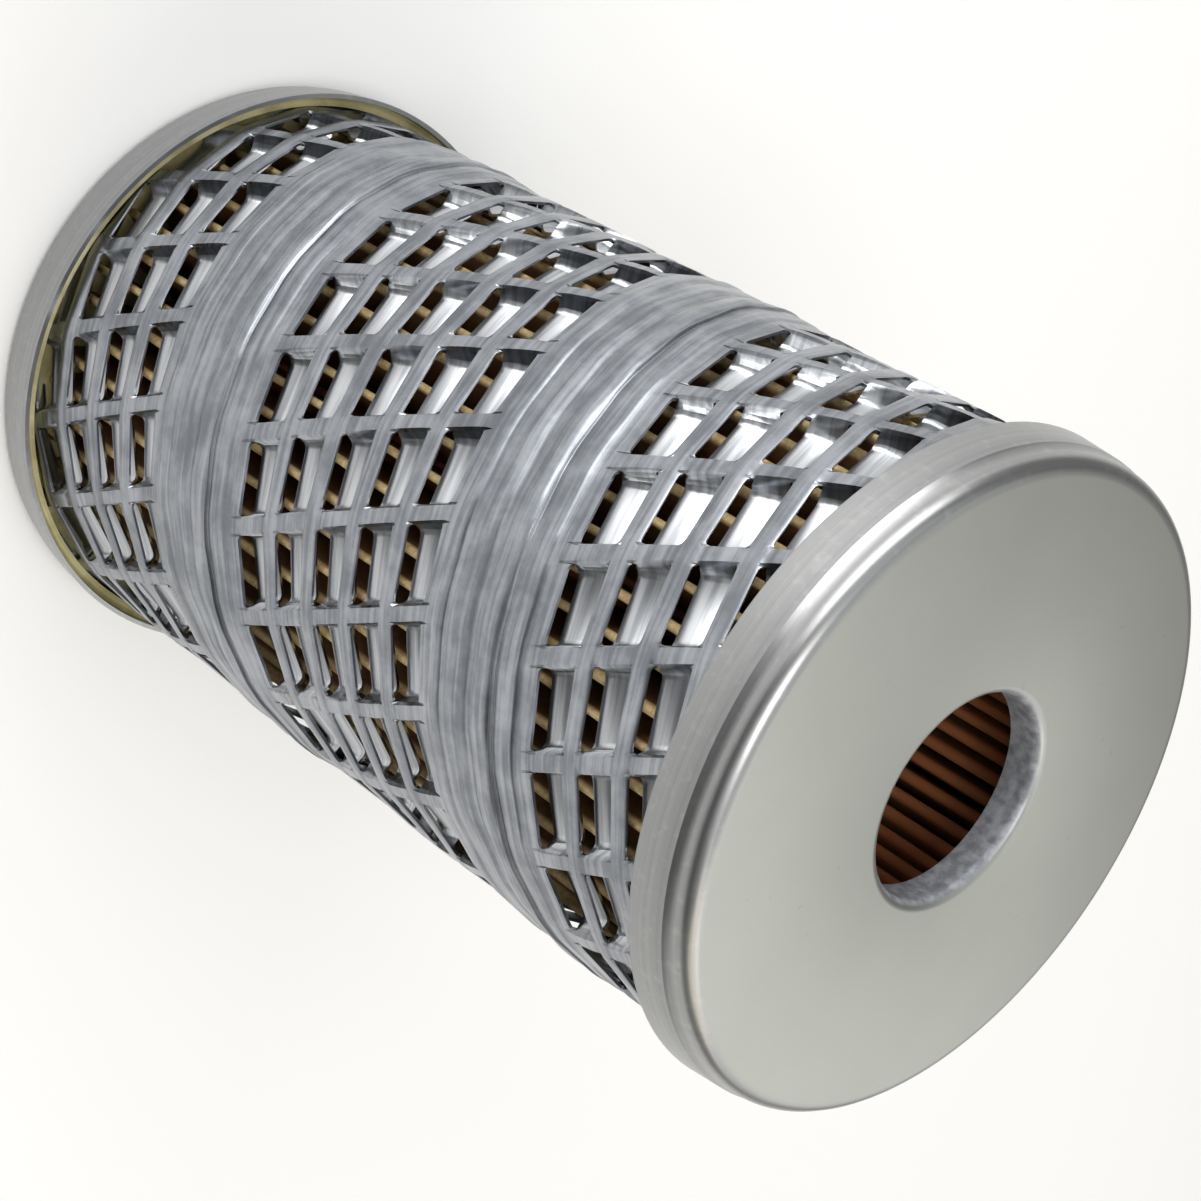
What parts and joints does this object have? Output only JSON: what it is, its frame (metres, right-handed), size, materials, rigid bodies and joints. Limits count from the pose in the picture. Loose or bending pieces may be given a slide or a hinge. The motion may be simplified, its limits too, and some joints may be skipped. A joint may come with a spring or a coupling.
{
  "type": "fuel filter",
  "caption": "Cylindrical cartridge filter: spiral-wound louvred metal wrap over pleated paper, between two pressed end caps with a collared centre bore.",
  "frame": {"origin": "centre of the lower end cap's outer face, on the bore's axis", "axes": "+Z along the centre bore, from the lower end cap to the upper one; at mid-height the middle of the wound strip lies 41 degrees from +X towards +Y, and the paper's side seam lies 214 degrees from +X"},
  "size_m": [0.0814, 0.0814, 0.137],
  "materials": {
    "cap_metal": "satin pressed sheet, lightly scuffed",
    "wrap_metal": "bright rolled sheet with roller marks",
    "filter_paper": "resin-impregnated filter paper",
    "clip_metal": "plain tinned strip",
    "potting": "cured olive-gold adhesive"
  },
  "bodies": {
    "root": {"top_end_cap": "cap_metal", "bottom_end_cap": "cap_metal", "louvred_wrap": "wrap_metal", "pleated_media": "filter_paper", "media_seam_clip": "clip_metal", "top_potting": "potting", "bottom_potting": "potting"}
  },
  "joints": []
}
